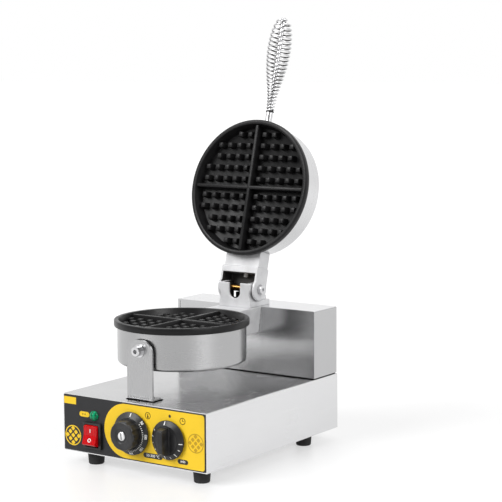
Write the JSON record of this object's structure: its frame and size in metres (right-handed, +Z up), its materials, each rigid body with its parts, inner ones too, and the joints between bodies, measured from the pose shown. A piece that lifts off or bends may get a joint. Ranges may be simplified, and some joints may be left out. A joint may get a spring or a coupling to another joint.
{
  "type": "round waffle maker",
  "caption": "Countertop waffle maker with a box base, fixed lower drum, hinged upper drum with deep-grid plates, coiled wire handle, two dials and a rocker switch.",
  "frame": {"origin": "centre of the whole footprint on the surface it stands on, lid open", "axes": "+Z up, the control panel faces -Y, +X to the right as seen from the front"},
  "size_m": [0.25, 0.4136, 0.6282],
  "materials": {
    "steel": "brushed satin sheet",
    "zinc": "bright zinc-plated",
    "rubber": "matte black",
    "panel_black": "satin printed film",
    "panel_yellow": "satin printed film",
    "black_plastic": "satin moulded",
    "silver_cap": "bright",
    "switch_red": "gloss translucent red",
    "lamp_white": "matte",
    "lamp_green": "gloss translucent green",
    "nonstick": "black non-stick coat on cast aluminium",
    "element": "heat-toned tube",
    "mineral_wool": "matte fibre",
    "cast_aluminium": "painted pale casting",
    "chrome_wire": "polished"
  },
  "bodies": {
    "base": {"base_shell": "steel", "bottom_plate": "steel", "bottom_screws": "zinc", "foot_front_left": "rubber", "foot_front_right": "rubber", "foot_rear_left": "rubber", "foot_rear_right": "rubber", "foot_screws": "zinc", "panel_sheet": "panel_black", "dial_field": "panel_yellow", "rear_housing": "steel", "housing_seam": "rubber", "housing_cover": "steel", "cover_screws": "zinc", "cord_gland": "black_plastic", "gland_nut": "black_plastic", "terminal_block": "lamp_white", "thermostat_body": "zinc", "thermostat_nut": "zinc", "timer_body": "zinc", "timer_nut": "zinc", "switch_housing": "black_plastic", "lamp_body": "lamp_white", "lamp_lens": "lamp_green", "front_bracket": "steel", "bracket_spacer": "zinc", "bracket_bolt": "zinc", "bracket_screws": "zinc", "lower_shell": "steel", "lower_plate": "nonstick", "lower_heater": "element", "lower_clamp": "zinc", "lower_insulation": "mineral_wool", "lower_bolt": "zinc", "pedestal": "cast_aluminium", "pedestal_bolts": "zinc", "hinge_casting": "cast_aluminium", "hinge_screws": "zinc", "hinge_pin": "zinc", "hinge_nut": "zinc"},
    "lid": {"lid_arm": "cast_aluminium", "arm_screws": "zinc", "lid_lead": "mineral_wool", "upper_shell": "steel", "upper_plate": "nonstick", "upper_heater": "element", "upper_clamp": "zinc", "upper_insulation": "mineral_wool", "upper_bolt": "zinc", "handle_rod": "chrome_wire", "handle_nut": "chrome_wire", "handle_collar": "black_plastic", "handle_spring": "chrome_wire"},
    "temp_dial": {"temp_shaft": "zinc", "temp_knob": "black_plastic", "temp_cap": "silver_cap"},
    "timer_dial": {"timer_shaft": "zinc", "timer_knob": "black_plastic"},
    "rocker": {"switch_rocker": "switch_red"}
  },
  "joints": [
    {"name": "lid_hinge", "type": "hinge", "parent": "base", "child": "lid", "pos_m": [0, 0.08145, 0.2268], "axis": [1, 0, 0], "range_deg": [0, 105]},
    {"name": "temp_dial_turn", "type": "hinge", "parent": "base", "child": "temp_dial", "pos_m": [0, -0.18055, 0.058], "axis": [0, 1, 0], "range_deg": [0, 300]},
    {"name": "timer_dial_turn", "type": "hinge", "parent": "base", "child": "timer_dial", "pos_m": [0.0635, -0.18055, 0.057], "axis": [0, 1, 0], "range_deg": [0, 330]},
    {"name": "switch_rock", "type": "hinge", "parent": "base", "child": "rocker", "pos_m": [-0.0705, -0.18155, 0.045], "axis": [1, 0, 0], "range_deg": [0, 20]}
  ]
}
